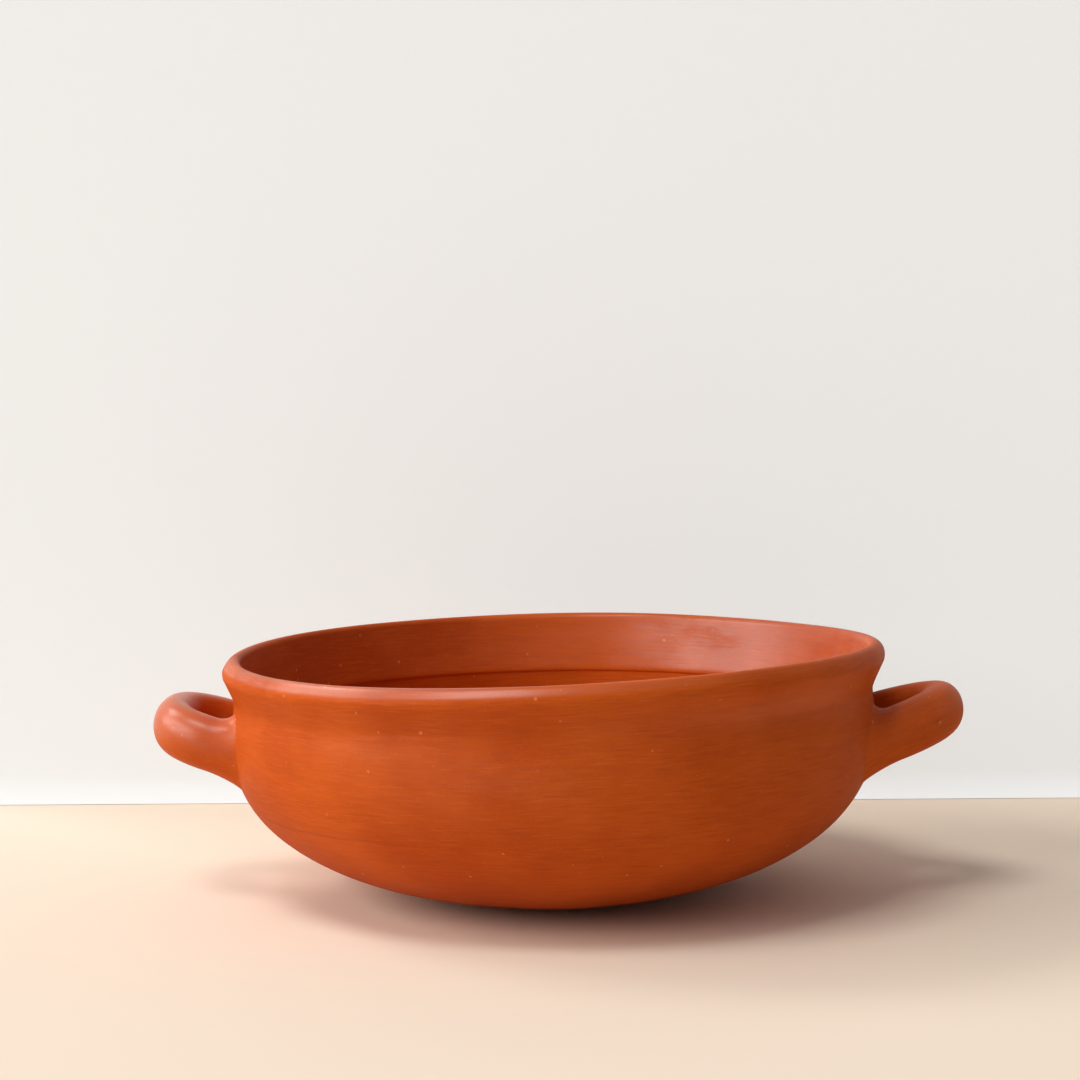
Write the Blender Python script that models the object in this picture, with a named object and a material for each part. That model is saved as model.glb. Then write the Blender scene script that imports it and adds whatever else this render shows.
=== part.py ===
"""Hand-built clay serving bowl: a moulded base, a wall coil, a rim coil and two lug handles.

The pieces are joined with slip while the clay is damp and fired together, so nothing moves.
Units are metres, +Z is up, the bowl stands on z = 0 and its handles point along -X and +X.
"""

import math

import bmesh
import bpy
from mathutils import Vector

# Heights of the three rings of clay, stacked from the table up
BASE_BOWL_HEIGHT = 0.038
WALL_COIL_HEIGHT = 0.037
RIM_COIL_HEIGHT = 0.021

# Radii and thicknesses of the vessel
WALL_RADIUS = 0.1255
FOOT_RADIUS = 0.036
WALL_THICKNESS = 0.007
FLOOR_THICKNESS = 0.009
BELLY_FULLNESS = 2.25
SHOULDER_DROP = 0.013

# Rolled lip, flared out from the wall, and the ridge that its coil leaves inside
LIP_ROLL = 0.006
LIP_BACK = 0.002
FLARE_REACH = 0.0045
FLARE_HEIGHT = 0.013
INNER_RIDGE = 0.0008

# Scarfed joints between the rings, and the film of slip in every joint
SCARF_DROP = 0.004
SLIP = 0.0003

# The hand-made lean: the rim sits off the middle of the foot, higher on the right and in front
RIM_SHIFT = 0.0015
RIM_TILT = math.radians(1.25)
RIM_NOD = math.radians(0.5)
RIM_TWIST = 0.0013

# Lug handles, each one bent roll of clay that rises as it leaves the wall
HANDLE_SPAN = 0.076
ROOT_FLARE = 0.25
ROOT_LENGTH = 0.014
LEFT_HANDLE_LIFT = 0.0045
LEFT_HANDLE_REACH = 0.032
LEFT_HANDLE_HEIGHT = 0.0195
LEFT_HANDLE_THICKNESS = 0.016
LEFT_HANDLE_RISE = math.radians(20)
RIGHT_HANDLE_LIFT = 0.002
RIGHT_HANDLE_REACH = 0.037
RIGHT_HANDLE_HEIGHT = 0.0175
RIGHT_HANDLE_THICKNESS = 0.0145
RIGHT_HANDLE_RISE = math.radians(19)
LOOP_SQUARENESS = 2.4
SECTION_SQUARENESS = 2.3

# Facets
RING_FACETS = 64
BELLY_STEPS = 8
COIL_STEPS = 5
FLARE_STEPS = 6
LIP_STEPS = 7
LOOP_STEPS = 20
SECTION_FACETS = 16
SMOOTH_UNDER = math.radians(35)

RIM_SEAM = BASE_BOWL_HEIGHT + WALL_COIL_HEIGHT
HEIGHT = RIM_SEAM + RIM_COIL_HEIGHT
RIM_RADIUS = WALL_RADIUS + FLARE_REACH
SHOULDER = RIM_SEAM - SHOULDER_DROP
LIP_EDGE = HEIGHT - LIP_ROLL
SCARF_SLOPE = SCARF_DROP / WALL_THICKNESS
SEAM_GAP = SLIP * math.hypot(1, SCARF_SLOPE)
BELLY_DEPTH = SHOULDER / (1 - (FOOT_RADIUS / WALL_RADIUS) ** BELLY_FULLNESS) ** (1 / BELLY_FULLNESS)
INNER_RADIUS = WALL_RADIUS - WALL_THICKNESS
INNER_DEPTH = SHOULDER - FLOOR_THICKNESS
COIL_MIDDLE = BASE_BOWL_HEIGHT + WALL_COIL_HEIGHT / 2


def ease(share):
    """Smooth step from 0 to 1."""
    share = min(max(share, 0.0), 1.0)
    return share * share * (3 - 2 * share)


def steps(start, end, count):
    """Evenly spaced values from start to end, both included."""
    return [start + (end - start) * i / count for i in range(count + 1)]


def belly_angle(height, depth):
    """Angle on the belly's curve, from 0 at its pole to a right angle at the shoulder."""
    share = min(max((SHOULDER - height) / depth, 0.0), 1.0)
    return math.acos(share ** (BELLY_FULLNESS / 2))


def belly(radius, depth, low, high, count):
    """Points (radius, height) on the belly between two heights."""
    points = []
    for angle in steps(belly_angle(low, depth), belly_angle(high, depth), count):
        across = max(math.sin(angle), 0.0) ** (2 / BELLY_FULLNESS)
        down = max(math.cos(angle), 0.0) ** (2 / BELLY_FULLNESS)
        points.append((radius * across, SHOULDER - depth * down))
    return points


def bowl_radius(radius, depth, height):
    """Radius of the belly or, above the shoulder, of the upright wall."""
    return belly(radius, depth, height, height, 1)[0][0]


def outer_radius(height):
    """Radius of the outside at a height, with the flare under the lip."""
    flare = FLARE_REACH * ease(1 - (LIP_EDGE - height) / FLARE_HEIGHT)
    return bowl_radius(WALL_RADIUS, BELLY_DEPTH, height) + flare


def inner_radius(height):
    """Radius of the inside at a height below the rim coil."""
    return bowl_radius(INNER_RADIUS, INNER_DEPTH, height)


def outside(low, high, count):
    """Points down the outside from one height to a lower one."""
    return [(outer_radius(height), height) for height in steps(high, low, count)]


def inside(low, high, count):
    """Points up the inside from one height to a higher one."""
    return [(inner_radius(height), height) for height in steps(low, high, count)]


def leaned(point):
    """The place of a point once the rim has settled to its hand-made lean."""
    share = point.z / HEIGHT
    rise = point.x * math.tan(RIM_TILT) - point.y * math.tan(RIM_NOD)
    rise -= 2 * RIM_TWIST * point.x * point.y / RIM_RADIUS**2
    return Vector((point.x + RIM_SHIFT * share, point.y, point.z + rise * share))


def clay(name, colour, roughness):
    """Burnished fired clay."""
    material = bpy.data.materials.new(name)
    material.use_nodes = True
    shader = material.node_tree.nodes["Principled BSDF"]
    shader.inputs["Base Color"].default_value = (*colour, 1)
    shader.inputs["Roughness"].default_value = roughness
    shader.inputs["Metallic"].default_value = 0
    return material


def finish(name, work, material):
    """Leans the shape, closes its surface and makes it an object."""
    for vertex in work.verts:
        vertex.co = leaned(vertex.co)
    bmesh.ops.recalc_face_normals(work, faces=work.faces)
    mesh = bpy.data.meshes.new(name)
    work.to_mesh(mesh)
    work.free()
    mesh.shade_smooth()
    mesh.set_sharp_from_angle(angle=SMOOTH_UNDER)
    piece = bpy.data.objects.new(name, mesh)
    bpy.context.scene.collection.objects.link(piece)
    if material:
        mesh.materials.append(material)
    return piece


def turned(name, outline, material, closed):
    """Turns an outline of (radius, height) points round the bowl's axis."""
    work = bmesh.new()
    ring = [work.verts.new((radius, 0, height)) for radius, height in outline]
    edges = [work.edges.new(pair) for pair in zip(ring, ring[1:])]
    if closed:
        edges.append(work.edges.new((ring[-1], ring[0])))
    bmesh.ops.spin(
        work,
        geom=ring + edges,
        cent=(0, 0, 0),
        axis=(0, 0, 1),
        angle=2 * math.pi,
        steps=RING_FACETS,
        use_merge=True,
    )
    bmesh.ops.remove_doubles(work, verts=work.verts, dist=SLIP / 100)
    return finish(name, work, material)


def base_bowl(material):
    """Round-bottomed bowl pressed in a mould, with a flat foot and a bevelled edge."""
    inner_edge = BASE_BOWL_HEIGHT - SCARF_DROP
    outline = [(0, FLOOR_THICKNESS)]
    outline += belly(INNER_RADIUS, INNER_DEPTH, FLOOR_THICKNESS, inner_edge, BELLY_STEPS)[1:]
    outline += belly(WALL_RADIUS, BELLY_DEPTH, 0, BASE_BOWL_HEIGHT, BELLY_STEPS)[::-1]
    outline += [(0, 0)]
    return turned("base_bowl", outline, material, closed=False)


def wall_coil(material):
    """Coil that carries the wall from the belly to the neck and holds both handles."""
    low = BASE_BOWL_HEIGHT + SEAM_GAP
    outline = outside(low, RIM_SEAM, COIL_STEPS)
    outline += inside(low - SCARF_DROP, RIM_SEAM - SCARF_DROP, COIL_STEPS)
    return turned("wall_coil", outline, material, closed=True)


def rim_coil(material):
    """Coil that flares out to a round lip, and stands a little proud of the wall inside."""
    low = RIM_SEAM + SEAM_GAP
    ridge_radius = INNER_RADIUS - INNER_RIDGE
    ridge_height = low - SCARF_SLOPE * (WALL_THICKNESS + INNER_RIDGE)
    crest_radius = RIM_RADIUS - LIP_ROLL
    outline = outside(low, LIP_EDGE, FLARE_STEPS)
    for share in steps(0, 1, FLARE_STEPS):
        radius = ridge_radius + (crest_radius - LIP_BACK - ridge_radius) * ease(share)
        outline.append((radius, ridge_height + (HEIGHT - LIP_BACK - ridge_height) * share))
    for angle in steps(math.pi, 0, LIP_STEPS)[1:-1]:
        round_over = LIP_BACK if angle > math.pi / 2 else LIP_ROLL
        radius = crest_radius + round_over * math.cos(angle)
        outline.append((radius, HEIGHT - round_over * (1 - math.sin(angle))))
    return turned("rim_coil", outline, material, closed=True)


def wall_form():
    """The outside of the vessel with the film of slip on it, which the handles are cut to fit."""
    skin = outside(RIM_SEAM, LIP_EDGE, FLARE_STEPS)
    skin += outside(BASE_BOWL_HEIGHT, RIM_SEAM, COIL_STEPS)[1:]
    skin += belly(WALL_RADIUS, BELLY_DEPTH, 0, BASE_BOWL_HEIGHT, BELLY_STEPS)[-2::-1]
    outline = [(0, HEIGHT)] + [(radius + SLIP, height) for radius, height in skin] + [(0, 0)]
    form = turned("wall_form", outline, None, closed=False)
    form.hide_render = True
    form.display_type = "WIRE"
    return form


def rounded(angle, squareness):
    """Cosine and sine drawn out towards the corners of a square."""
    across, along = math.cos(angle), math.sin(angle)
    power = 2 / squareness
    return math.copysign(abs(across) ** power, across), math.copysign(abs(along) ** power, along)


def handle(name, side, lift, reach, height, thickness, rise, form, material):
    """Roll of clay bent to a half loop, with its ends swelling into the wall it is luted to."""
    outward = Vector((side * math.cos(rise), 0, math.sin(rise)))
    across = Vector((0, side, 0))
    upright = outward.cross(across)
    root = Vector((side * WALL_RADIUS, 0, COIL_MIDDLE + lift))
    overhang = math.hypot(thickness / 2 * math.cos(rise), height / 2 * math.sin(rise))
    bow = (reach - overhang) / math.cos(rise)
    arm = HANDLE_SPAN / 2 - thickness / 2
    swollen = arm + thickness
    buried = WALL_RADIUS - math.sqrt(WALL_RADIUS**2 - swollen**2) + WALL_THICKNESS

    path = []
    for angle in steps(-math.pi / 2, math.pi / 2, LOOP_STEPS):
        out, along = rounded(angle, LOOP_SQUARENESS)
        path.append((bow * max(out, 0.0), arm * along))
    path = [(-buried, -arm)] + path + [(-buried, arm)]

    work = bmesh.new()
    rings = []
    for i, (out, along) in enumerate(path):
        before, after = path[max(i - 1, 0)], path[min(i + 1, len(path) - 1)]
        heading = Vector((after[0] - before[0], after[1] - before[1])).normalized()
        sideways = outward * heading.y - across * heading.x
        swell = 1 + ROOT_FLARE * ease(1 - out / ROOT_LENGTH)
        middle = root + outward * out + across * along
        ring = []
        for facet in range(SECTION_FACETS):
            thick, tall = rounded(2 * math.pi * facet / SECTION_FACETS, SECTION_SQUARENESS)
            offset = sideways * (thick * thickness / 2) + upright * (tall * height / 2)
            ring.append(work.verts.new(middle + offset * swell))
        rings.append(ring)
    for ring, following in zip(rings, rings[1:]):
        for facet in range(SECTION_FACETS):
            next_facet = (facet + 1) % SECTION_FACETS
            work.faces.new((ring[facet], ring[next_facet], following[next_facet], following[facet]))
    work.faces.new(rings[0])
    work.faces.new(rings[-1])

    piece = finish(name, work, material)
    cut = piece.modifiers.new("fit_to_wall", "BOOLEAN")
    cut.operation = "DIFFERENCE"
    cut.object = form
    return piece


for leftover in list(bpy.data.objects):
    bpy.data.objects.remove(leftover)

base_bowl(clay("terracotta_base", (0.42, 0.085, 0.024), 0.45))
wall_coil(clay("terracotta_wall", (0.46, 0.095, 0.027), 0.42))
rim_coil(clay("terracotta_rim", (0.45, 0.100, 0.032), 0.40))
outside_form = wall_form()
handle(
    "left_handle",
    -1,
    LEFT_HANDLE_LIFT,
    LEFT_HANDLE_REACH,
    LEFT_HANDLE_HEIGHT,
    LEFT_HANDLE_THICKNESS,
    LEFT_HANDLE_RISE,
    outside_form,
    clay("terracotta_left_handle", (0.50, 0.120, 0.040), 0.42),
)
handle(
    "right_handle",
    1,
    RIGHT_HANDLE_LIFT,
    RIGHT_HANDLE_REACH,
    RIGHT_HANDLE_HEIGHT,
    RIGHT_HANDLE_THICKNESS,
    RIGHT_HANDLE_RISE,
    outside_form,
    clay("terracotta_right_handle", (0.44, 0.092, 0.028), 0.42),
)
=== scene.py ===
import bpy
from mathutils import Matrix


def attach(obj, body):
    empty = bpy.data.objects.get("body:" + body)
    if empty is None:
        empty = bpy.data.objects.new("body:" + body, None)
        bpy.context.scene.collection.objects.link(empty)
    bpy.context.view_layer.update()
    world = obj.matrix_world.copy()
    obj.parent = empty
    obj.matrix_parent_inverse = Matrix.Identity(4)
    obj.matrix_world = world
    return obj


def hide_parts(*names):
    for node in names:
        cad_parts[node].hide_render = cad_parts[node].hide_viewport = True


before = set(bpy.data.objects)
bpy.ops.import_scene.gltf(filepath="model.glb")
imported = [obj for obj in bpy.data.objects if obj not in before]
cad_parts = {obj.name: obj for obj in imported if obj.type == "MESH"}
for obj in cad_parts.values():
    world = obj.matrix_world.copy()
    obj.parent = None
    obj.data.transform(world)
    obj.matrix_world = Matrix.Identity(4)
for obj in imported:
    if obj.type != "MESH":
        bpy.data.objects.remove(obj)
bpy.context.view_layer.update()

import math

import bpy
import numpy as np
from mathutils import Matrix, Vector

# Base bowl
# The round lower half, patted out of one slab of red clay over a mould, scraped thin and rubbed with
# a pebble. The whole bowl stands on the small spot under it that was pressed flat while it was soft.
FOOT_RADIUS = 0.036
FLOOR_THICKNESS = 0.009
WALL_RADIUS = 0.1255
WALL_THICKNESS = 0.007
HEIGHT = 0.096
SHOULDER = 0.062
BELLY_FULLNESS = 2.25
BASE_SEAM = 0.038
SCARF_DROP = 0.004
NECK = 0.079
NECK_SWELL = 0.0013
NECK_FALL = 0.012
INNER_RADIUS = WALL_RADIUS - WALL_THICKNESS
INNER_DEPTH = SHOULDER - FLOOR_THICKNESS
BELLY_DEPTH = SHOULDER / (1 - (FOOT_RADIUS / WALL_RADIUS) ** BELLY_FULLNESS) ** (1 / BELLY_FULLNESS)
OUTSIDE, INSIDE = 0.0, 1.0
CURVE_POINTS = 300
UPRIGHT_POINTS = 200
ROW_STEP = 0.0013


def ease(share):
    """A share from 0 to 1 that starts and ends gently."""
    share = np.clip(share, 0, 1)
    return share * share * (3 - 2 * share)


def belly(radius, depth, height):
    """Radius of the rounded belly at a height, upright above the shoulder."""
    share = np.clip((SHOULDER - height) / depth, 0, 1)
    return radius * (1 - share**BELLY_FULLNESS) ** (1 / BELLY_FULLNESS)


def outer_radius(height):
    """The outer face, which swells a little below the neck."""
    swell = NECK_SWELL * ease((NECK - height) / NECK_FALL) * ease(height / NECK)
    return belly(WALL_RADIUS, BELLY_DEPTH, height) + swell


def inner_radius(height):
    return belly(INNER_RADIUS, INNER_DEPTH, height)


def face_line(radius_at, depth, low, high, side):
    """Close points up the outer or inner face of the clay: radius, height and which side it is."""
    curve_angle = np.linspace(0, math.pi / 2, CURVE_POINTS)
    curve = SHOULDER - depth * np.cos(curve_angle) ** (2 / BELLY_FULLNESS)
    upright = np.linspace(SHOULDER, HEIGHT, UPRIGHT_POINTS)
    heights = np.unique(np.clip(np.concatenate([curve, upright]), low, high))
    return np.stack([radius_at(heights), heights, np.full(len(heights), side)], axis=1)


def outer_line(low, high):
    return face_line(outer_radius, BELLY_DEPTH, low, high, OUTSIDE)


def inner_line(low, high):
    return face_line(inner_radius, INNER_DEPTH, low, high, INSIDE)


def run_along(points):
    """How far along an outline each of its points lies."""
    steps = np.hypot(np.diff(points[:, 0]), np.diff(points[:, 1]))
    return np.concatenate([[0], np.cumsum(steps)])


def even_rows(points, step=ROW_STEP):
    """The same outline in even steps."""
    run = run_along(points)
    count = max(round(run[-1] / step), 1)
    places = np.linspace(0, run[-1], count + 1)
    return np.stack([np.interp(places, run, column) for column in points.T], axis=1)


# Slow swells left by building with the hands: waves a turn, lean with height, depth and start.
SWELLS = (
    (3, 18, 0.00022, 0.4),
    (5, -31, 0.00018, 2.0),
    (8, 52, 0.00012, 1.1),
    (13, -75, 0.00007, 3.3),
    (21, 110, 0.00004, 5.2),
)
INNER_START = 2.4
ROUND_STEPS = 288
TURN = np.linspace(0, 2 * math.pi, ROUND_STEPS, endpoint=False)[None, :]
# The reach over which the marks grow from nothing at the middle and at the foot, and the height over
# which they turn from pushing the clay up or down to pushing it out.
CALM_MIDDLE = 0.03
CALM_FOOT = 0.008
BELLY_RISE = 0.03


def hand_swells(turn, height, side):
    """How far the clay stands off its true round at an angle and a height."""
    off = 0.0
    for waves, lean, depth, start in SWELLS:
        off = off + depth * np.sin(waves * turn + lean * height + start + INNER_START * side)
    return off


def ring_points(outline, marks):
    """The outline carried once round the bowl, with the marks of the hands."""
    radius, height, side = (column[:, None] for column in outline.T)
    inside = side > 0
    off = marks(TURN, height, side) * ease(radius / CALM_MIDDLE)
    off = off * np.where(inside, 1, ease(height / CALM_FOOT))
    upright = ease((height - np.where(inside, FLOOR_THICKNESS, 0)) / BELLY_RISE)
    radius = radius + off * upright
    height = height + off * (1 - upright) * np.where(inside, 1, -1)
    return np.stack([radius * np.cos(TURN), radius * np.sin(TURN), height + 0 * TURN], axis=2)


RIM_RADIUS = 0.130
RIM_SHIFT = 0.0015
RIM_TILT = math.radians(1.25)
RIM_NOD = math.radians(0.5)
RIM_TWIST = 0.0013
RIM_HUMP = 0.0014
HUMP_PLACE = math.radians(75)
HUMP_SPREAD = math.radians(32)


def leaned(points):
    """The bowl dried with its rim tilted, twisted, humped at the back and moved a touch to the right."""
    x, y, z = np.asarray(points).T
    rise = x * math.tan(RIM_TILT) - y * math.tan(RIM_NOD) - 2 * RIM_TWIST * x * y / RIM_RADIUS**2
    hump = np.exp(-(((np.arctan2(y, x) - HUMP_PLACE) / HUMP_SPREAD) ** 2))
    rise = rise + RIM_HUMP * hump * (x * x + y * y) / RIM_RADIUS**2
    return np.stack([x + RIM_SHIFT * z / HEIGHT, y, z + rise * z / HEIGHT], axis=1)


def grid_faces(rows, columns, closed):
    """Quads between rows of points. An open grid ends in one point at each end."""
    faces = []
    for row in range(rows if closed else rows - 1):
        here, there = row * columns, (row + 1) % rows * columns
        for column in range(columns):
            after = (column + 1) % columns
            faces.append((here + column, here + after, there + after, there + column))
    if not closed:
        first, last = rows * columns, rows * columns + 1
        top = (rows - 1) * columns
        for column in range(columns):
            after = (column + 1) % columns
            faces.append((first, after, column))
            faces.append((top + column, top + after, last))
    return faces


# Where the outside was rubbed more: angle in degrees, height, reach round and up, and polish.
RUBBED_PATCHES = (
    (-108, 0.066, 24, 0.017, 0.32),
    (-50, 0.081, 26, 0.006, 0.25),
    (70, 0.058, 40, 0.018, 0.3),
)
OUTSIDE_POLISH = 0.05
INSIDE_POLISH = 0.02
MIDDLE_POLISH = 0.2


def polished(outline):
    """How much each point was rubbed: little over the whole bowl, more in a few patches outside."""
    height, side = outline[:, 1, None], outline[:, 2, None]
    outside = OUTSIDE_POLISH
    for angle, level, reach, tall, rubbed in RUBBED_PATCHES:
        off = (TURN - math.radians(angle) + math.pi) % (2 * math.pi) - math.pi
        near = (off / math.radians(reach)) ** 2 + ((height - level) / tall) ** 2
        outside = outside + rubbed * np.exp(-near)
    return (outside + (INSIDE_POLISH - outside) * side).ravel()


SEAM_ANGLE = math.radians(50)


def clay_piece(name, points, faces, stroke, polish, material):
    """A mesh object that keeps, at each point, its place across the polishing strokes and its polish."""
    mesh = bpy.data.meshes.new(name)
    mesh.from_pydata(points.tolist(), [], faces)
    mesh.shade_smooth()
    mesh.set_sharp_from_angle(angle=SEAM_ANGLE)
    for kind, values in (("stroke", stroke), ("polish", polish)):
        kept = mesh.attributes.new(kind, "FLOAT", "POINT")
        kept.data.foreach_set("value", values.astype(np.float32))
    mesh.materials.append(material)
    piece = bpy.data.objects.new(name, mesh)
    bpy.context.scene.collection.objects.link(piece)
    return piece


class Wire:
    """One socket of a material's nodes. Arithmetic on it adds Math nodes."""

    def __init__(self, tree, socket=None):
        self.tree = tree
        self.socket = socket

    def node(self, kind, settings, sockets, output=0):
        """Any other node: its type, its settings, then the values or wires of its sockets."""
        made = self.tree.nodes.new(kind)
        for key, value in settings.items():
            setattr(made, key, value)
        for key, value in sockets.items():
            if isinstance(value, Wire):
                self.tree.links.new(value.socket, made.inputs[key])
            else:
                made.inputs[key].default_value = value
        return Wire(self.tree, made.outputs[output])

    def maths(self, operation, first, second):
        return self.node("ShaderNodeMath", {"operation": operation}, {0: first, 1: second})

    def __add__(self, other):
        return self.maths("ADD", self, other)

    def __radd__(self, other):
        return self.maths("ADD", other, self)

    def __sub__(self, other):
        return self.maths("SUBTRACT", self, other)

    def __rsub__(self, other):
        return self.maths("SUBTRACT", other, self)

    def __mul__(self, other):
        return self.maths("MULTIPLY", self, other)

    def __rmul__(self, other):
        return self.maths("MULTIPLY", other, self)


BODY_ORANGE = (0.52, 0.085, 0.007, 1)
BODY_RED = (0.43, 0.061, 0.005, 1)
DARK_STREAK = (0.29, 0.036, 0.006, 1)
PALE_STREAK = (0.62, 0.125, 0.030, 1)
SPECK = (0.72, 0.27, 0.12, 1)
# How strongly each kind of mark tints the clay.
DARK_BANDS = 0.16
DARK_LINES = 0.28
PALE_LINES = 0.26
PALE_GRAIN = 0.14
PALE_SPECKS = 0.5
# How far the outline of a speck strays from round, and its size as a share of its cell.
STRAY = (0.0016, 0.0016, 0.0016)
SPECK_LEAST = 0.05
SPECK_SPREAD = 0.16
SPECK_EDGE = 0.09
SPECK_CROWDING = 0.25


def burnished_clay(name, orange, red):
    """Unglazed red clay rubbed to a satin with a pebble, with streaks along the strokes."""
    material = bpy.data.materials.new(name)
    material.use_nodes = True
    tree = material.node_tree
    shader = tree.nodes["Principled BSDF"]
    clay = Wire(tree)
    place = clay.node("ShaderNodeTexCoord", {}, {}, "Object")
    stroke = clay.node("ShaderNodeAttribute", {"attribute_name": "stroke"}, {}, "Fac")
    polish = clay.node("ShaderNodeAttribute", {"attribute_name": "polish"}, {}, "Fac")

    def scaled(size):
        return clay.node("ShaderNodeVectorMath", {"operation": "SCALE"}, {0: place, "Scale": size})

    def cloud(size, detail):
        sockets = {"Vector": place, "Scale": size, "Detail": detail, "Roughness": 0.55}
        return clay.node("ShaderNodeTexNoise", {}, sockets)

    def streaks(along, across, detail):
        sockets = {"Vector": scaled(along), "W": stroke * across, "Scale": 1.0, "Detail": detail}
        return clay.node("ShaderNodeTexNoise", {"noise_dimensions": "4D"}, sockets)

    def between(value, low, high):
        sockets = {"Value": value, "From Min": low, "From Max": high}
        return clay.node("ShaderNodeMapRange", {"interpolation_type": "SMOOTHSTEP"}, sockets)

    def painted(share, under, over):
        return clay.node("ShaderNodeMix", {"data_type": "RGBA"}, {0: share, 6: under, 7: over}, 2)

    # The clay's own clouds, patches and grain, and the strokes of the pebble from broad to fine.
    slow = cloud(size=9.0, detail=3.0)
    patches = cloud(size=38.0, detail=4.0)
    grain = cloud(size=900.0, detail=3.0)
    swathes = streaks(along=22.0, across=70.0, detail=3.0)
    bands = streaks(along=30.0, across=320.0, detail=3.0)
    lines = streaks(along=110.0, across=1500.0, detail=3.0)

    # Specks of grit: a few of many cells, of unlike sizes, thicker in some places than in others.
    wander = clay.node(
        "ShaderNodeTexNoise", {}, {"Vector": place, "Scale": 700.0, "Detail": 2.0}, "Color"
    )
    strayed = clay.node(
        "ShaderNodeVectorMath", {"operation": "MULTIPLY_ADD"}, {0: wander, 1: STRAY, 2: place}
    )
    grit = {"Vector": strayed, "Scale": 250.0}
    near = clay.node("ShaderNodeTexVoronoi", {}, grit, "Distance")
    lot = clay.node("ShaderNodeTexVoronoi", {}, grit, "Color")
    kept = clay.node("ShaderNodeSeparateColor", {}, {"Color": lot}, "Red")
    size = clay.node("ShaderNodeSeparateColor", {}, {"Color": lot}, "Green")
    gathered = between(cloud(size=24.0, detail=2.0), low=0.42, high=0.68)
    dots = between(size * SPECK_SPREAD + SPECK_LEAST - near, low=0.0, high=SPECK_EDGE)
    specks = dots * between(kept + gathered * SPECK_CROWDING, low=0.86, high=0.95)

    colour = painted(between(slow * 0.7 + patches * 0.3, low=0.36, high=0.64), red, orange)
    colour = painted(between(bands, low=0.46, high=0.72) * DARK_BANDS, colour, DARK_STREAK)
    colour = painted(between(lines, low=0.50, high=0.72) * DARK_LINES, colour, DARK_STREAK)
    colour = painted(between(lines, low=0.50, high=0.30) * PALE_LINES, colour, PALE_STREAK)
    colour = painted(between(grain, low=0.52, high=0.70) * PALE_GRAIN, colour, PALE_STREAK)
    colour = painted(specks * PALE_SPECKS, colour, SPECK)
    tree.links.new(colour.socket, shader.inputs["Base Color"])

    # The sheen of the rubbing, broken up along the strokes.
    rubbed = between(swathes, low=0.34, high=0.62) * 0.5 + between(patches, low=0.38, high=0.66) * 0.25
    shine = polish * (rubbed + between(lines, low=0.4, high=0.65) * 0.4 + 0.4)
    shine = clay.node("ShaderNodeClamp", {}, {"Value": shine})
    tree.links.new(shine.socket, shader.inputs["Coat Weight"])
    shader.inputs["Coat Roughness"].default_value = 0.33
    shader.inputs["Coat IOR"].default_value = 1.5
    shader.inputs["Roughness"].default_value = 0.6
    shader.inputs["Specular IOR Level"].default_value = 0.04
    relief = bands * 0.5 + lines * 0.35 + grain * 0.4 + specks * 0.4
    bump = clay.node("ShaderNodeBump", {}, {"Height": relief, "Strength": 0.4, "Distance": 0.0002})
    tree.links.new(bump.socket, shader.inputs["Normal"])
    return material


body_clay = burnished_clay("body_clay", BODY_ORANGE, BODY_RED)
foot = np.array([[0.0, 0.0, OUTSIDE], [FOOT_RADIUS, 0.0, OUTSIDE]])
base_outside = even_rows(np.concatenate([foot, outer_line(0.0, BASE_SEAM)[1:]]))
base_inside = even_rows(inner_line(FLOOR_THICKNESS, BASE_SEAM - SCARF_DROP)[::-1])
base_outline = np.concatenate([base_outside, base_inside])
base_rings = base_outline[1:-1]
base_run = run_along(base_outline)
base_middles = [[0, 0, 0], [0, 0, FLOOR_THICKNESS]]
base_skin = clay_piece(
    "base_skin",
    leaned(np.concatenate([ring_points(base_rings, hand_swells).reshape(-1, 3), base_middles])),
    grid_faces(len(base_rings), ROUND_STEPS, closed=False),
    np.append(np.repeat(base_run[1:-1], ROUND_STEPS), [0.0, base_run[-1]]),
    np.append(polished(base_rings), [MIDDLE_POLISH, MIDDLE_POLISH]),
    body_clay,
)
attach(base_skin, "root")
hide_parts("base_bowl")

# Wall coil
# The upright belt of the bowl: a fat roll of the same clay, pressed onto the base bowl's cut edge,
# pinched up thin and scraped level with it, so that nothing of the joint shows.
RIM_SEAM = 0.075
# Steps left under the collar where its smearing stopped: angle and reach each way, in degrees.
NECK_STEPS = ((-109, 17), (28, 24), (146, 18))
STEP_DEPTH = 0.0002
STEP_WANDER = 0.0005
STEP_EDGE = 0.0009
STEP_FALL = 0.011


def neck_marks(turn, height, side):
    """The swells of the hands, and the steps where the collar was smeared down over the wall."""
    off = hand_swells(turn, height, side)
    below = NECK + STEP_WANDER * np.sin(4 * turn + 1) - height
    for middle, reach in NECK_STEPS:
        limit = math.cos(math.radians(reach))
        near = ease((np.cos(turn - math.radians(middle)) - limit) / (1 - limit)) * (1 - side)
        off = off + STEP_DEPTH * near * ease(below / STEP_EDGE) * ease(1 - below / STEP_FALL)
    return off


def coil_skin(name, outline, marks, start, polish):
    """A ring of clay from its closed outline. start is how far its strokes lie from the foot."""
    points = leaned(ring_points(outline, marks).reshape(-1, 3))
    faces = grid_faces(len(outline), ROUND_STEPS, closed=True)
    stroke = np.repeat(run_along(outline) + start, ROUND_STEPS)
    return clay_piece(name, points, faces, stroke, polish, body_clay)


wall_outside = even_rows(outer_line(BASE_SEAM, RIM_SEAM))
wall_inside = even_rows(inner_line(BASE_SEAM - SCARF_DROP, RIM_SEAM - SCARF_DROP)[::-1])
wall_outline = np.concatenate([wall_outside, wall_inside])
wall_start = run_along(base_outside)[-1]
wall_skin = coil_skin("wall_skin", wall_outline, neck_marks, wall_start, polished(wall_outline))
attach(wall_skin, "root")
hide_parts("wall_coil")

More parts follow.
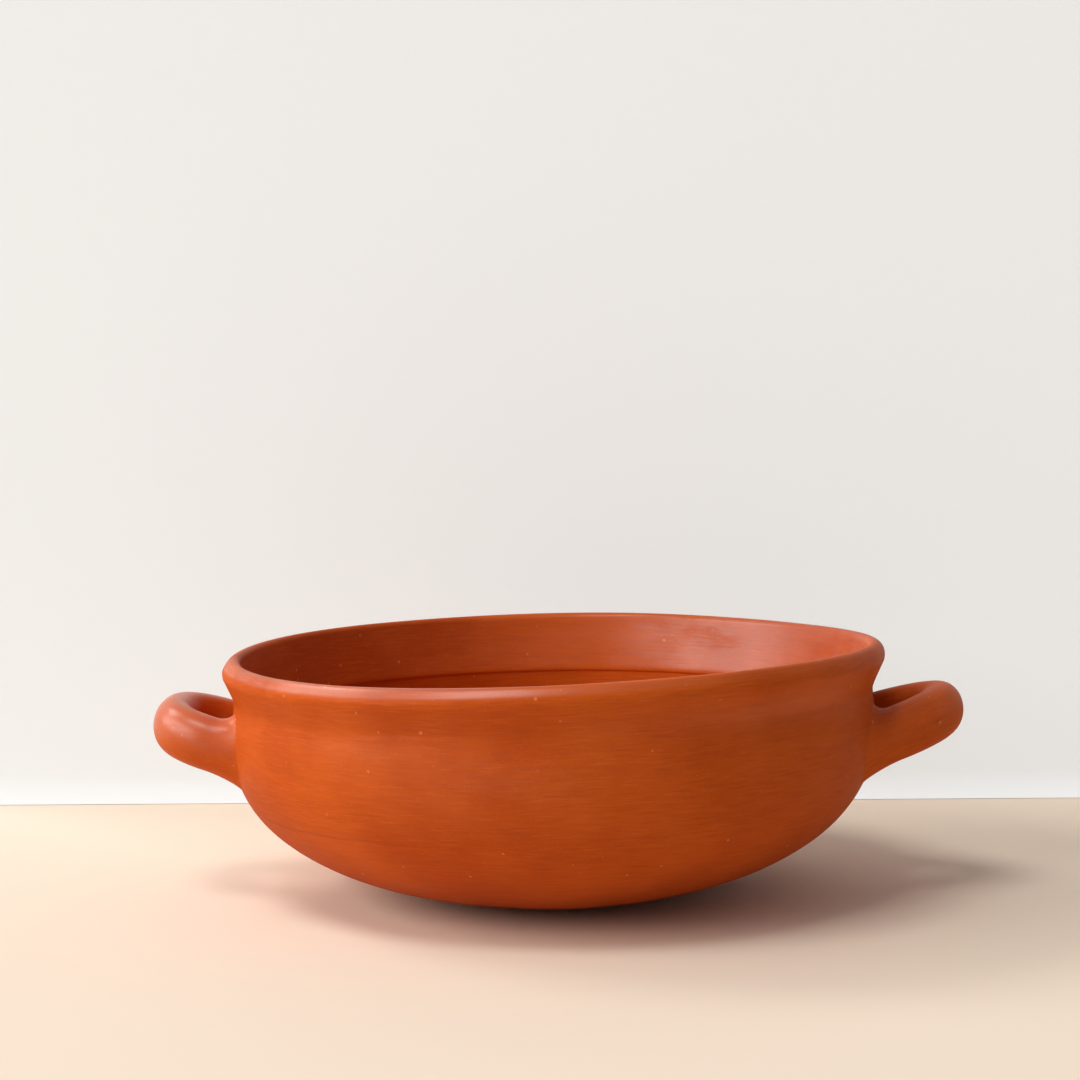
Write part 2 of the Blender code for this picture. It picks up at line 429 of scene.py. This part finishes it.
# Rim coil
# The last roll of clay, turned outwards into a flared collar with a rolled lip. Its lower edge was
# left standing a hair proud inside the bowl, where it shows as a line round the wall.
LIP_ROLL = 0.0045
LIP_DROP = 0.0053
LIP_BACK = 0.0026
# How far the lip turns under and how far the collar leans back inside, in degrees.
LIP_TURN = 20
COLLAR_SLOPE = 13
LIP_EDGE = HEIGHT - LIP_DROP
LIP_FOOT = LIP_EDGE - LIP_DROP * math.sin(math.radians(LIP_TURN))
LIP_CREST = RIM_RADIUS - LIP_ROLL
FLARE = RIM_RADIUS - WALL_RADIUS - LIP_ROLL * (1 - math.cos(math.radians(LIP_TURN)))
FLARE_HEIGHT = 0.0105
NECK_ROUND = 0.15
INNER_RIDGE = 0.0005
RIDGE_ROUND = 0.0012
ON_CREST = 0.5
CREST_FADE = 0.1
OVAL_POINTS = 48
NOSE_POINTS = 12
COLLAR_STEP = 0.0006
LIP_STEP = 0.0004
NOSE_STEP = 0.0003


def flared_radius(height):
    """The outer face with the collar, which bends out from the neck up to the foot of the lip."""
    share = np.clip(1 - (LIP_FOOT - height) / FLARE_HEIGHT, 0, 1)
    bent = np.hypot(share, NECK_ROUND) - NECK_ROUND
    return outer_radius(height) + FLARE * bent / (math.hypot(1, NECK_ROUND) - NECK_ROUND)


def quarter_round(centre, wide, tall, start, end, sides):
    """Part of an oval of the lip, from one angle to another in degrees."""
    angle = np.radians(np.linspace(start, end, OVAL_POINTS))
    around = [centre[0] + wide * np.cos(angle), centre[1] + tall * np.sin(angle)]
    return np.stack([*around, np.linspace(*sides, OVAL_POINTS)], axis=1)


# The side of the lip that was pressed flatter and rubbed most, and the side of the collar that was
# rubbed. PRESS_PEAK is the most that up**2 * (1 - up) comes to.
LIP_FRONT = math.radians(229)
COLLAR_FRONT = 0.65
LIP_PRESS = 0.0007
PRESS_PEAK = 4 / 27
LIP_POLISH = 1.5
CREST_START, CREST_RISE = 0.0012, 0.0018
COLLAR_FOOT, COLLAR_RISE = 0.071, 0.004


def facing(turn, middle, narrowness):
    """1 at the middle angle and 0 across the bowl from it."""
    return (0.5 + 0.5 * np.cos(turn - middle)) ** narrowness


def rim_marks(turn, height, side):
    """The marks of the neck, and the lip's outer face pressed flatter at the front left."""
    up = np.clip((height - LIP_EDGE) / LIP_DROP, 0, 1)
    outer_face = np.clip((ON_CREST - side) / CREST_FADE, 0, 1)
    pressed = LIP_PRESS / PRESS_PEAK * up**2 * (1 - up) * outer_face * facing(turn, LIP_FRONT, 2)
    return neck_marks(turn, height, side) - pressed


def rim_polish(outline):
    """The bowl's own polish, and much more on the crest of the lip and on one half of the collar."""
    height, side = outline[:, 1, None], outline[:, 2, None]
    crest = ease((height - LIP_EDGE - CREST_START) / CREST_RISE)
    outside = LIP_POLISH * crest * facing(TURN, LIP_FRONT, 4)
    inside = ease((height - COLLAR_FOOT) / COLLAR_RISE) * facing(TURN, COLLAR_FRONT, 4)
    return polished(outline) + (outside + (inside - outside) * side).ravel()


collar_outside = face_line(flared_radius, BELLY_DEPTH, RIM_SEAM, LIP_FOOT, OUTSIDE)
lip_front = quarter_round(
    (LIP_CREST, LIP_EDGE), LIP_ROLL, LIP_DROP, -LIP_TURN, 90, (OUTSIDE, ON_CREST)
)
lip_back = quarter_round(
    (LIP_CREST, HEIGHT - LIP_BACK), LIP_BACK, LIP_BACK, 90, 180 - COLLAR_SLOPE, (ON_CREST, INSIDE)
)
nose_foot = RIM_SEAM - SCARF_DROP
nose_angle = np.linspace(0, math.pi / 2, NOSE_POINTS)
nose_radius = INNER_RADIUS - INNER_RIDGE * np.cos(nose_angle)
nose_height = nose_foot + RIDGE_ROUND * (1 - np.sin(nose_angle))
nose = np.stack([nose_radius, nose_height, np.full(NOSE_POINTS, INSIDE)], axis=1)
collar_inside = np.array([lip_back[-1], nose[0]])
rim_outline = np.concatenate(
    [
        even_rows(collar_outside, COLLAR_STEP),
        even_rows(lip_front, LIP_STEP)[1:],
        even_rows(lip_back, LIP_STEP)[1:],
        even_rows(collar_inside)[1:],
        even_rows(nose, NOSE_STEP)[1:],
    ]
)
rim_start = wall_start + run_along(wall_outside)[-1]
rim_skin = coil_skin("rim_skin", rim_outline, rim_marks, rim_start, rim_polish(rim_outline))
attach(rim_skin, "root")
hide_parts("rim_coil")

# Handles
# Two thick rolls of clay bent into raised loops, scored and slipped onto the wall under the collar,
# with their roots smeared out over the wall. Rolled and set by eye, so the two are not alike.
# The handles' clay is painted paler than the body's. This is painted light, standing in for the brighter
# light and sheen that fall on the handles.
LIT_HANDLE_ORANGE = (0.57, 0.098, 0.010, 1)
LIT_HANDLE_RED = (0.47, 0.070, 0.006, 1)
COIL_MIDDLE = (BASE_SEAM + RIM_SEAM) / 2
SECTION_SQUARENESS = 2.05
SECTION_STEPS = 40
BOW_POINTS = 600
FILLET_START = 0.007
FILLET_REACH = 0.0045
FILLET_ROWS = 14
# How strongly a fillet holds on to the arm it leaves and to the wall it runs out on.
ARM_HOLD, ARM_FILLET_HOLD, WALL_HOLD = 1.1, 0.5, 1.6
ROOT_SINK = 0.0002
CAP_SINK = 0.002
WALL_NUDGE = 0.0005
SEARCH_REACH = 0.05
SEARCH_HALVINGS = 40
# Shares of a handle's polish on its underside and at its roots, and how far round the full polish comes.
LEAST_POLISH = 0.1
ROOT_POLISH = 0.05
TOP_REACH = 0.6


def squared(angle, squareness):
    """Cosine and sine of a circle that bulges towards a square."""
    pull = 2 / squareness
    cosine, sine = np.cos(angle), np.sin(angle)
    return np.sign(cosine) * np.abs(cosine) ** pull, np.sign(sine) * np.abs(sine) ** pull


def unit(rows):
    return rows / np.linalg.norm(rows, axis=1)[:, None]


def wall_points(turn, height, sink):
    """Points on the wall's outer face, or sunk a little way into it."""
    marks = neck_marks(turn, height, OUTSIDE) * ease(height / CALM_FOOT)
    radius = flared_radius(height) + marks - sink
    return np.stack([radius * np.cos(turn), radius * np.sin(turn), height], axis=-1)


def wall_hits(points, heading):
    """Where lines from the points reach the wall: their angles and heights there, and how far it was."""
    near, far = np.zeros(len(points)), np.full(len(points), SEARCH_REACH)
    for _ in range(SEARCH_HALVINGS):
        middle = (near + far) / 2
        reached = points + heading * middle[:, None]
        clear = np.hypot(reached[:, 0], reached[:, 1]) > flared_radius(reached[:, 2])
        near = np.where(clear, middle, near)
        far = np.where(clear, far, middle)
    reached = points + heading * far[:, None]
    return np.arctan2(reached[:, 1], reached[:, 0]), reached[:, 2], far


def root_rows(ring, heading, side, smear):
    """Rows from the end of an arm, spreading out until they lie along the wall."""
    front = 0 if side > 0 else math.pi
    turn, height, distance = wall_hits(ring, heading)
    turn = (turn - front + math.pi) % (2 * math.pi) - math.pi
    spread = unit(np.stack([(turn - turn.mean()) * WALL_RADIUS, height - height.mean()], axis=1))
    round_wall, level = spread[:, 0] / WALL_RADIUS, spread[:, 1]
    fillet = smear + (FILLET_REACH - smear) * level**2
    end_turn = turn + fillet * round_wall + front
    end_height = height + fillet * level
    landed = wall_points(end_turn, end_height, ROOT_SINK)
    ahead = wall_points(end_turn + WALL_NUDGE * round_wall, end_height + WALL_NUDGE * level, ROOT_SINK)
    along = unit(ahead - landed)
    rows = []
    for share in np.linspace(0, 1, FILLET_ROWS + 1)[1:]:
        done = 3 * share**2 - 2 * share**3
        leave = (share**3 - 2 * share**2 + share) * (distance * ARM_HOLD + fillet * ARM_FILLET_HOLD)
        arrive = (share**3 - share**2) * (fillet * WALL_HOLD)
        row = (1 - done) * ring + leave[:, None] * heading
        rows.append(row + done * landed + arrive[:, None] * along)
    centre = wall_points(np.array([turn.mean() + front]), np.array([height.mean()]), CAP_SINK)
    return rows, centre


def handle_skin(
    name, side, lift, reach, span, squareness, height, thickness, rise, stand, smear, polish
):
    """A bent roll of clay and its two smeared roots, as one closed skin."""
    outward = np.array([side * math.cos(rise), 0, math.sin(rise)])
    across = np.array([0, side, 0])
    stood = np.cross(outward, across) * (1 - stand) + np.array([0, 0, stand])
    root = np.array([side * WALL_RADIUS, 0, COIL_MIDDLE + lift])
    overhang = math.hypot(thickness / 2 * math.cos(rise), height / 2 * math.sin(rise))
    bow = (reach - overhang) / math.cos(rise)
    arm = span / 2 - thickness / 2
    out, along = squared(np.linspace(-math.pi / 2, math.pi / 2, BOW_POINTS), squareness)
    path = np.stack([bow * out, arm * along], axis=1)
    path = even_rows(path[path[:, 0] > FILLET_START])
    tangent = unit(np.gradient(path, axis=0))
    around = np.linspace(0, 2 * math.pi, SECTION_STEPS, endpoint=False)
    wide, tall = squared(around, SECTION_SQUARENESS)
    rings = []
    for (out, along), (step_out, step_along) in zip(path, tangent):
        centre = root + outward * out + across * along
        sideways = outward * step_along - across * step_out
        ring = centre + np.outer(wide * thickness / 2, sideways)
        rings.append(ring + np.outer(tall * height / 2, stood))
    first_heading = -(outward * tangent[0, 0] + across * tangent[0, 1])
    last_heading = outward * tangent[-1, 0] + across * tangent[-1, 1]
    first_rows, first_centre = root_rows(rings[0], first_heading, side, smear)
    last_rows, last_centre = root_rows(rings[-1], last_heading, side, smear)
    rows = first_rows[::-1] + rings + last_rows
    points = np.concatenate([*rows, first_centre, last_centre])
    faces = grid_faces(len(rows), SECTION_STEPS, closed=False)
    stroke = np.tile(np.abs(around - math.pi) * (height + thickness) / 4, len(rows))
    fade = np.linspace(ROOT_POLISH, 1, FILLET_ROWS + 1)[:-1]
    fade = np.concatenate([fade, np.ones(len(rings)), fade[::-1]])
    top = ease(wide + TOP_REACH) * ease(tall + TOP_REACH)
    rubbed = np.outer(fade, polish * (LEAST_POLISH + (1 - LEAST_POLISH) * top)).ravel()
    ends = [0.0, 0.0]
    return clay_piece(
        name, leaned(points), faces, np.append(stroke, ends), np.append(rubbed, ends), handle_clay
    )


# The handles get the paler clay: painted light for the light and sheen on them.
handle_clay = burnished_clay("handle_clay", LIT_HANDLE_ORANGE, LIT_HANDLE_RED)
left_grip = handle_skin(
    "left_grip",
    side=-1,
    lift=0.005,
    reach=0.0324,
    span=0.067,
    squareness=2.55,
    height=0.0219,
    thickness=0.0175,
    rise=math.radians(18),
    stand=0.45,
    smear=0.001,
    polish=1.8,
)
right_grip = handle_skin(
    "right_grip",
    side=1,
    lift=0.0033,
    reach=0.037,
    span=0.070,
    squareness=1.8,
    height=0.0205,
    thickness=0.018,
    rise=math.radians(16.5),
    stand=0.12,
    smear=0.006,
    polish=0.25,
)
for grip, node in ((left_grip, "left_handle"), (right_grip, "right_handle")):
    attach(grip, "root")
    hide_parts(node)

# Ground and backdrop
# A plain pale ground sheet with a plain white card standing close behind the bowl, both painted dull.
# Seen from below or from behind they let the view through, so that the bowl shows from every side.
GROUND_HALF = 3.0
GROUND_TONE = (0.86, 0.725, 0.595, 1)
# The ground is painted darker towards the lamps, between two places along x, so that it stays even.
FAR_TONE = (0.43, 0.37, 0.31, 1)
FAR_START, FAR_END = -0.25, -1.5
CARD_HALF = 0.30
CARD_BACK = 0.20
CARD_HEIGHT = 0.42
CARD_ROUND = 0.012
CARD_LIFT = 0.0002
CARD_BENDS = 9
CARD_TONE = (0.925, 0.93, 0.92, 1)
CARD_GLOW = 0.5
# The looks that a surface gets: straight at it, in a gloss and through glass.
LOOKS = ("Is Camera Ray", "Is Glossy Ray", "Is Transmission Ray")


def stage_colour(name, colour, glow, far):
    """A dull paint. A look at it gets the glow share of its colour unlit. far is its tone by the lamps."""
    material = bpy.data.materials.new(name)
    material.use_nodes = True
    tree = material.node_tree
    shader = tree.nodes["Principled BSDF"]
    shader.inputs["Base Color"].default_value = colour
    shader.inputs["Roughness"].default_value = 0.7
    shader.inputs["Specular IOR Level"].default_value = 0.2
    stage = Wire(tree)
    if far:
        place = stage.node("ShaderNodeTexCoord", {}, {}, "Object")
        x = stage.node("ShaderNodeSeparateXYZ", {}, {"Vector": place}, "X")
        away = stage.node(
            "ShaderNodeMapRange", {}, {"Value": x, "From Min": FAR_START, "From Max": FAR_END}
        )
        toned = stage.node("ShaderNodeMix", {"data_type": "RGBA"}, {0: away, 6: colour, 7: far}, 2)
        tree.links.new(toned.socket, shader.inputs["Base Color"])
    behind = stage.node("ShaderNodeNewGeometry", {}, {}, "Backfacing")
    straight, mirrored, through = (stage.node("ShaderNodeLightPath", {}, {}, look) for look in LOOKS)
    lit = Wire(tree, shader.outputs[0])
    unlit = stage.node("ShaderNodeEmission", {}, {"Color": colour, "Strength": 1.0})
    clear = stage.node("ShaderNodeBsdfTransparent", {}, {})
    share = (straight + mirrored + through) * glow
    paint = stage.node("ShaderNodeMixShader", {}, {0: share, 1: lit, 2: unlit})
    mixed = stage.node("ShaderNodeMixShader", {}, {0: behind * straight, 1: paint, 2: clear})
    tree.links.new(mixed.socket, tree.nodes["Material Output"].inputs["Surface"])
    return material


def stage_sheet(name, half, line, colour, glow=0.0, far=None):
    """A sheet of a half width along a line of (y, z) points."""
    mesh = bpy.data.meshes.new(name)
    points = [(x, y, z) for x in (-half, half) for y, z in line]
    count = len(line)
    faces = [(i, count + i, count + i + 1, i + 1) for i in range(count - 1)]
    mesh.from_pydata(points, [], faces)
    mesh.shade_smooth()
    mesh.materials.append(stage_colour(name, colour, glow, far))
    sheet = bpy.data.objects.new(name, mesh)
    bpy.context.scene.collection.objects.link(sheet)


ground_line = [(-GROUND_HALF, 0.0), (GROUND_HALF, 0.0)]
stage_sheet("ground", GROUND_HALF, ground_line, GROUND_TONE, far=FAR_TONE)
card_line = []
for bend in np.linspace(0, math.pi / 2, CARD_BENDS):
    back = CARD_BACK - CARD_ROUND + CARD_ROUND * math.sin(bend)
    card_line.append((back, CARD_LIFT + CARD_ROUND * (1 - math.cos(bend))))
card_line.append((CARD_BACK, CARD_HEIGHT))
stage_sheet("card", CARD_HALF, card_line, CARD_TONE, glow=CARD_GLOW)

# Light
# A large soft light from the left and a little in front, with a small one beside it that fills the
# left flank. Two more, high up in front and behind, shine along the lip and the handles, in a dim room.
BOWL_MIDDLE = Vector((0, 0, 0.05))
SIDE_TINT = (1.0, 1.0, 0.96)
HIGH_TINT = (1.0, 0.99, 0.97)
ROOM = (0.98, 0.96, 0.97, 1)
ROOM_STRENGTH = 0.24
PALE = (0.8, 0.8, 0.78, 1)


def soft_light(name, place, width, height, power, colour):
    """A rectangle of light that faces the bowl."""
    lamp = bpy.data.lights.new(name, "AREA")
    lamp.shape = "RECTANGLE"
    lamp.size = width
    lamp.size_y = height
    lamp.energy = power
    lamp.color = colour
    light = bpy.data.objects.new(name, lamp)
    light.location = place
    light.rotation_euler = (BOWL_MIDDLE - light.location).to_track_quat("-Z", "Y").to_euler()
    bpy.context.scene.collection.objects.link(light)


soft_light("window_light", (-5.20, -2.24, 2.69), width=5.8, height=3.5, power=281.0, colour=SIDE_TINT)
soft_light("side_light", (-5.04, 1.20, 2.21), width=2.2, height=1.9, power=61.0, colour=SIDE_TINT)
soft_light("sky_light", (-3.01, 1.70, 3.38), width=1.6, height=1.28, power=57.0, colour=HIGH_TINT)
soft_light("top_light", (-1.44, -1.44, 4.58), width=2.1, height=1.6, power=82.0, colour=HIGH_TINT)
world = bpy.data.worlds.new("room")
bpy.context.scene.world = world
world.use_nodes = True
room = Wire(world.node_tree)
straight, mirrored, through = (room.node("ShaderNodeLightPath", {}, {}, look) for look in LOOKS)
dim = room.node("ShaderNodeBackground", {}, {"Color": ROOM, "Strength": ROOM_STRENGTH})
pale = room.node("ShaderNodeBackground", {}, {"Color": PALE, "Strength": 1.0})
both = room.node("ShaderNodeMixShader", {}, {0: straight + mirrored + through, 1: dim, 2: pale})
world.node_tree.links.new(both.socket, world.node_tree.nodes["World Output"].inputs["Surface"])
bpy.context.scene.view_settings.view_transform = "Standard"

# Camera
# It stands a metre in front of the bowl and a little above the rim, looking slightly down, with a
# long lens on a square picture.
CAMERA_PLACE = Vector((-0.0035, -1.0, 0.214))
CAMERA_DOWN = math.radians(4.34)
CAMERA_ROLL = math.radians(0.39)
PICTURE_SIDE = 1080
FOCAL_PIXELS = 2545

lens = bpy.data.cameras.new("camera")
lens.sensor_width = 36
lens.lens = lens.sensor_width * FOCAL_PIXELS / PICTURE_SIDE
camera = bpy.data.objects.new("camera", lens)
tilt = Matrix.Rotation(math.pi / 2 - CAMERA_DOWN, 4, "X") @ Matrix.Rotation(-CAMERA_ROLL, 4, "Z")
camera.matrix_world = Matrix.Translation(CAMERA_PLACE) @ tilt
bpy.context.scene.collection.objects.link(camera)
bpy.context.scene.camera = camera
